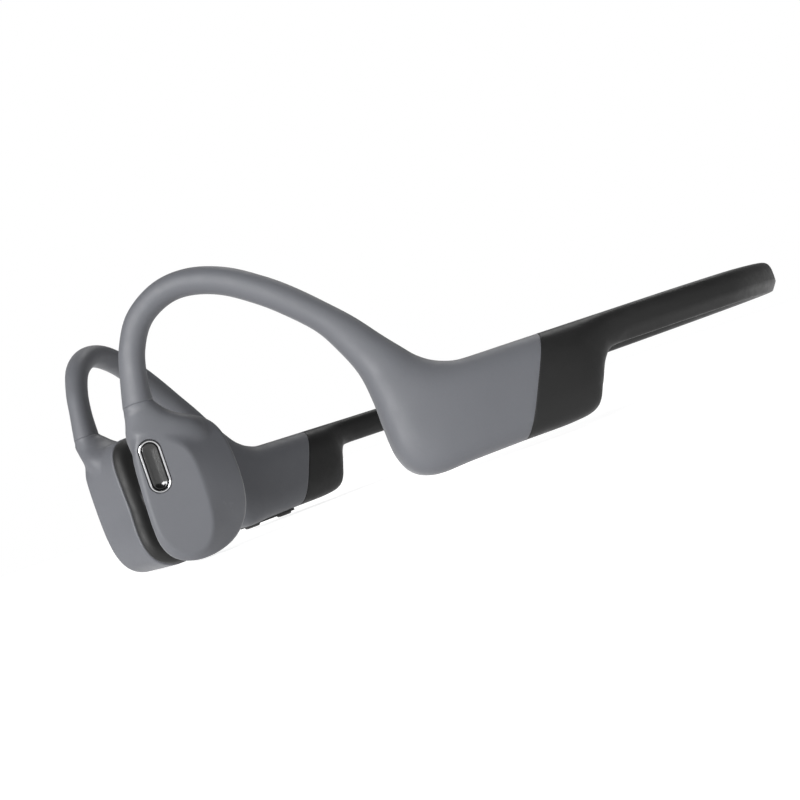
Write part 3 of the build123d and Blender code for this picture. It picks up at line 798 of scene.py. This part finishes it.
def surface(name, colour, rough, metallic=0.0, grain=0.00025, bump=0.12, mottle=0.05,
            rough_spread=0.08, coat=0.0, sheen=0.0, specular=0.5, wear=0.0, brushed=False):
    """Procedural material: fine grain, slow colour drift, uneven roughness and worn edges."""
    material = bpy.data.materials.new(name)
    material.use_nodes = True
    tree = material.node_tree
    shader = tree.nodes["Principled BSDF"]
    shader.inputs["Metallic"].default_value = metallic
    shader.inputs["Specular IOR Level"].default_value = specular
    shader.inputs["Coat Weight"].default_value = coat
    shader.inputs["Coat Roughness"].default_value = 0.2
    shader.inputs["Sheen Weight"].default_value = sheen
    shader.inputs["Sheen Roughness"].default_value = 0.45
    place = tree.nodes.new("ShaderNodeTexCoord")
    scale = tree.nodes.new("ShaderNodeMapping")
    tree.links.new(place.outputs["Object"], scale.inputs["Vector"])
    if brushed:
        scale.inputs["Scale"].default_value = (1.0, 1.0, BRUSH_STRETCH)
    fine = node(tree, "ShaderNodeTexNoise", Scale=1 / grain, Detail=4.0, Roughness=0.6)
    slow = node(tree, "ShaderNodeTexNoise", Scale=SLOW_NOISE, Detail=3.0, Roughness=0.55)
    middle = node(tree, "ShaderNodeTexNoise", Scale=MIDDLE_NOISE, Detail=5.0, Roughness=0.65)
    for texture in (fine, slow, middle):
        tree.links.new(scale.outputs["Vector"], texture.inputs["Vector"])
    total = node(tree, "ShaderNodeMath")
    total.operation = "ADD"
    speck = mottle * SPECK_SHARE
    tree.links.new(spread(tree, slow.outputs["Fac"], -mottle, mottle), total.inputs[0])
    tree.links.new(spread(tree, fine.outputs["Fac"], 1 - speck, 1 + speck), total.inputs[1])
    tint = node(tree, "ShaderNodeVectorMath")
    tint.operation = "SCALE"
    tint.inputs[0].default_value = colour
    tree.links.new(total.outputs["Value"], tint.inputs["Scale"])
    colour_out = tint.outputs["Vector"]
    if wear:
        colour_out = worn_edges(tree, colour, colour_out, wear)
    tree.links.new(colour_out, shader.inputs["Base Color"])
    uneven = spread(tree, middle.outputs["Fac"], rough - rough_spread, rough + rough_spread)
    tree.links.new(uneven, shader.inputs["Roughness"])
    raised = node(tree, "ShaderNodeBump", Strength=bump, Distance=grain * BUMP_SHARE)
    tree.links.new(fine.outputs["Fac"], raised.inputs["Height"])
    tree.links.new(raised.outputs["Normal"], shader.inputs["Normal"])
    return material


def linear(grey, cast=(1.0, 1.0, 1.0)):
    """Linear colour of a screen grey from 0 to 255, with a slight cast of red, green and blue."""
    return tuple((((grey * c) / 255 + 0.055) / 1.055) ** 2.4 for c in cast)


COOL_GREY = linear(84, (0.98, 0.995, 1.045))
MATERIALS = {
    "grey_silicone": surface("grey_silicone", COOL_GREY, 0.56, bump=0.16, mottle=0.03,
                             sheen=0.12, specular=0.35, wear=0.05),
    "grey_shell": surface("grey_shell", COOL_GREY, 0.52, bump=0.14, mottle=0.03, sheen=0.08,
                          specular=0.38, wear=0.07),
    "black_silicone": surface("black_silicone", linear(24), 0.5, bump=0.16, mottle=0.05,
                              sheen=0.03, specular=0.25, wear=0.04),
    "pad_silicone": surface("pad_silicone", linear(20), 0.6, bump=0.18, mottle=0.05,
                            sheen=0.1, specular=0.35, wear=0.04),
    "titanium": surface("titanium", (0.45, 0.43, 0.4), 0.3, metallic=1.0, brushed=True),
    "cable_jacket": surface("cable_jacket", linear(36), 0.45),
    "frame_plastic": surface("frame_plastic", linear(62), 0.5, wear=0.2),
    "soft_iron": surface("soft_iron", (0.5, 0.5, 0.5), 0.32, metallic=1.0, brushed=True),
    "magnet": surface("magnet", (0.6, 0.6, 0.61), 0.18, metallic=1.0, wear=0.2),
    "copper_coil": surface("copper_coil", (0.72, 0.3, 0.12), 0.35, metallic=1.0, grain=0.00012),
    "spring_steel": surface("spring_steel", (0.52, 0.52, 0.53), 0.28, metallic=1.0,
                            brushed=True),
    "drive_plastic": surface("drive_plastic", (0.5, 0.5, 0.48), 0.45, wear=0.2),
    "button_black": surface("button_black", linear(18), 0.2, grain=0.00015, bump=0.05,
                            mottle=0.04, rough_spread=0.05, coat=0.25, specular=0.6),
    "polished_trim": surface("polished_trim", (0.5, 0.5, 0.51), 0.14, metallic=1.0,
                             bump=0.03, mottle=0.03, rough_spread=0.04, wear=0.2),
    "seal_rubber": surface("seal_rubber", linear(32), 0.6),
    "key_rubber": surface("key_rubber", linear(34), 0.45, wear=0.15),
    "circuit_board": surface("circuit_board", (0.02, 0.12, 0.05), 0.38, mottle=0.15, coat=0.2),
    "switch_steel": surface("switch_steel", (0.55, 0.55, 0.55), 0.3, metallic=1.0,
                            brushed=True),
    "battery_foil": surface("battery_foil", (0.62, 0.62, 0.64), 0.34, metallic=0.9,
                            grain=0.0008, bump=0.3),
    "antenna_flex": surface("antenna_flex", (0.5, 0.24, 0.04), 0.4, mottle=0.08, coat=0.15),
    "port_plastic": surface("port_plastic", linear(30), 0.35, wear=0.15),
    "gold_contact": surface("gold_contact", (0.9, 0.62, 0.22), 0.2, metallic=1.0, wear=0.1),
    "light_pipe": surface("light_pipe", (0.75, 0.76, 0.78), 0.25, bump=0.05, coat=0.3),
}


# ---- Build ----------------------------------------------------------------------------------
def dress(obj, slot_name):
    obj.data.materials.clear()
    obj.data.materials.append(MATERIALS[slot_name])


def dress_pair(left, right, slot_name, replaced):
    """Finish a left and a right piece that each ride on their own half."""
    for obj, side in ((left, "left"), (right, "right")):
        dress(obj, slot_name)
        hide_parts(side + "_" + replaced)
        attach(obj, side + "_half")


def build_arms_and_band():
    left_arm, right_arm, band, hook_end = make_arms_and_band()
    dress_pair(left_arm, right_arm, "grey_silicone", "arm_cover")
    dress(band, "black_silicone")
    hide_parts("left_band_sleeve", "right_band_sleeve")
    wire = band_core("band_wire_run", -CORE_OFFSET, WIRE_R)
    cable = band_core("band_cable_run", CORE_OFFSET, CABLE_R)
    dress(wire, "titanium")
    dress(cable, "cable_jacket")
    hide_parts("left_band_wire", "right_band_wire")
    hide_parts("left_band_cable", "right_band_cable")
    for obj in (band, wire, cable):
        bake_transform(obj)
    return hook_end


def build_drivers(hook_end):
    left_shell = driver_shell("left_driver_skin", hook_end, True)
    right_shell = driver_shell("right_driver_skin", hook_end, False)
    right_mirror = mirrored(right_shell, "right_driver_face")
    bpy.data.objects.remove(right_shell)
    pad = contact_pad()
    right_pad = mirrored(pad, "right_contact_pad_skin")
    dress_pair(left_shell, right_mirror, "grey_shell", "driver_shell")
    dress_pair(pad, right_pad, "pad_silicone", "contact_pad")


def build_button():
    ring = trim_ring()
    dress(ring, "polished_trim")
    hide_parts("button_trim_ring")
    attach(ring, "left_half")
    cap = button_cap()
    dress(cap, "button_black")
    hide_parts("multifunction_button")
    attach(cap, "multifunction_key")


def dress_cad_nodes():
    slots = {entry["node"]: entry["material_slot"] for entry in frame["record"]["subparts"]}
    for name, obj in frame["nodes"].items():
        for held in obj.material_slots:
            held.material = MATERIALS[slots[name]]


# ---- Studio ---------------------------------------------------------------------------------
def sun(name, towards, strength, softness):
    """Distant soft light from a direction, its softness in degrees."""
    light = bpy.data.lights.new(name, "SUN")
    light.energy = strength
    light.angle = radians(softness)
    obj = new_object(name, light)
    obj.rotation_euler = Vector(towards).to_track_quat("Z", "Y").to_euler()


def room():
    """Dim even light that the camera sees as plain white."""
    world = bpy.data.worlds.new("studio")
    bpy.context.scene.world = world
    world.use_nodes = True
    tree = world.node_tree
    lit = tree.nodes["Background"]
    lit.inputs["Color"].default_value = (1, 1, 1, 1)
    lit.inputs["Strength"].default_value = WALL_LIGHT
    shown = tree.nodes.new("ShaderNodeBackground")
    shown.inputs["Color"].default_value = (1, 1, 1, 1)
    path = tree.nodes.new("ShaderNodeLightPath")
    mix = tree.nodes.new("ShaderNodeMixShader")
    tree.links.new(path.outputs["Is Camera Ray"], mix.inputs[0])
    tree.links.new(lit.outputs[0], mix.inputs[1])
    tree.links.new(shown.outputs[0], mix.inputs[2])
    tree.links.new(mix.outputs[0], tree.nodes["World Output"].inputs["Surface"])


def light_table():
    """Plain pale floor that glows a little."""
    mesh = bpy.data.meshes.new("floor")
    corners = ((-1, -1), (1, -1), (1, 1), (-1, 1))
    mesh.from_pydata([(x * FLOOR_HALF, y * FLOOR_HALF, FLOOR_Z) for x, y in corners], [],
                     [(0, 1, 2, 3)])
    floor = new_object("floor", mesh)
    paper = surface("paper", (0.55, 0.55, 0.55), 0.9, grain=0.002, bump=0.02, mottle=0.004,
                    specular=0.0)
    glow = paper.node_tree.nodes["Principled BSDF"]
    glow.inputs["Emission Color"].default_value = (1, 1, 1, 1)
    glow.inputs["Emission Strength"].default_value = FLOOR_GLOW
    floor.data.materials.append(paper)


def studio():
    room()
    light_table()
    sun("front", towards=(0.45, -0.88, 0.07), strength=9.2, softness=45)
    sun("back", towards=(-0.25, 0.55, 0.8), strength=0.9, softness=30)
    bpy.context.scene.view_settings.view_transform = "Standard"


def camera():
    """The photograph's viewpoint: low at the front left, with the camera's right side dipped."""
    data = bpy.data.cameras.new("camera")
    data.lens = CAMERA_LENS
    data.sensor_width = CAMERA_SENSOR
    data.clip_start = 0.01
    obj = new_object("camera", data)
    turn, rise, roll = [radians(a) for a in (CAMERA_AZIMUTH, CAMERA_ELEVATION, CAMERA_ROLL)]
    back = Vector((cos(rise) * cos(turn), cos(rise) * sin(turn), sin(rise)))
    level = Vector((-sin(turn), cos(turn), 0))
    upright = back.cross(level)
    right = level * cos(roll) + upright * sin(roll)
    rotation = Matrix((right, back.cross(right), back)).transposed()
    obj.matrix_world = Matrix.Translation(Vector(CAMERA_PLACE) * MM) @ rotation.to_4x4()
    bpy.context.scene.camera = obj


build_drivers(build_arms_and_band())
build_button()
dress_cad_nodes()
studio()
camera()
